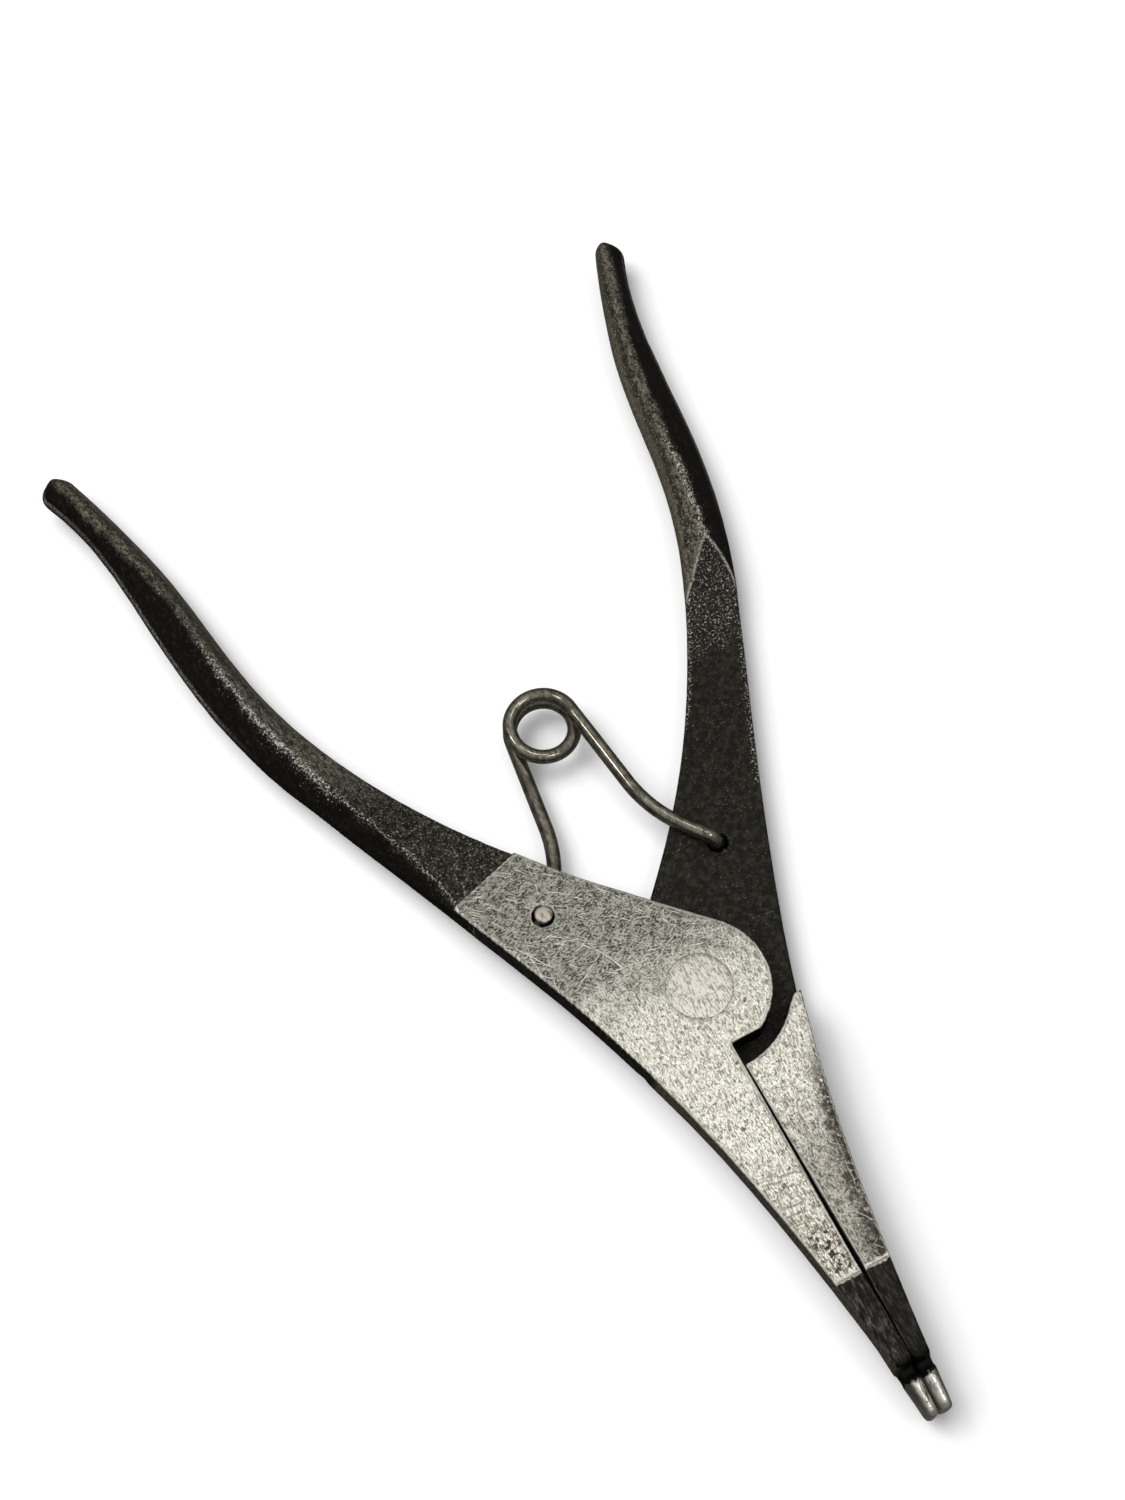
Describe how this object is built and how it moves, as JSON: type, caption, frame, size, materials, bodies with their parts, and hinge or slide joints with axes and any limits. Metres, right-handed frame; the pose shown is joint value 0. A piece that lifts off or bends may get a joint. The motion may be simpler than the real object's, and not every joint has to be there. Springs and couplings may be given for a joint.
{
  "type": "retaining ring pliers",
  "caption": "Lock-ring pliers with lapped forged levers on a flush rivet: squeezing the handles spreads the slender jaws, and a wire torsion spring closes them.",
  "frame": {"origin": "the pivot axis at the back ground face, on which the tool lies", "axes": "+Y from the pivot towards the handles, -Y towards the jaw tips, +Z out of the front ground face along the pivot axis, +X towards the back lever's handle"},
  "size_m": [0.1204, 0.2165, 0.0117],
  "materials": {
    "forged_steel": "forged dark scale, with the joint and jaws ground bright and worn",
    "rivet_steel": "ground flush, scratched and worn",
    "spring_steel": "bare drawn wire, dulled and oily"
  },
  "bodies": {
    "front_lever": {"front_lever": "forged_steel", "pivot_rivet": "rivet_steel"},
    "back_lever": {"back_lever": "forged_steel"},
    "spring_arm_front": {"spring_front_half": "spring_steel"},
    "spring_arm_back": {"spring_back_half": "spring_steel"}
  },
  "joints": [
    {"name": "jaw_hinge", "type": "hinge", "parent": "front_lever", "child": "back_lever", "pos_m": [0, 0, 0.00585], "axis": [0, 0, 1], "range_deg": [0, 20], "stiffness_Nm_per_rad": 1.2, "springref_deg": -20.05},
    {"name": "spring_front_pivot", "type": "hinge", "parent": "front_lever", "child": "spring_arm_front", "pos_m": [-0.0165, 0.0225, 0.00585], "axis": [0, 0, 1], "range_deg": [0, 18]},
    {"name": "coil_wind", "type": "hinge", "parent": "spring_arm_front", "child": "spring_arm_back", "pos_m": [0, 0.0553, 0.00585], "axis": [0, 0, 1], "range_deg": [-15, 0]}
  ],
  "couplings": [
    {"joint": "spring_front_pivot", "follows": "jaw_hinge", "ratio": 0.853},
    {"joint": "coil_wind", "follows": "jaw_hinge", "ratio": -0.705}
  ]
}
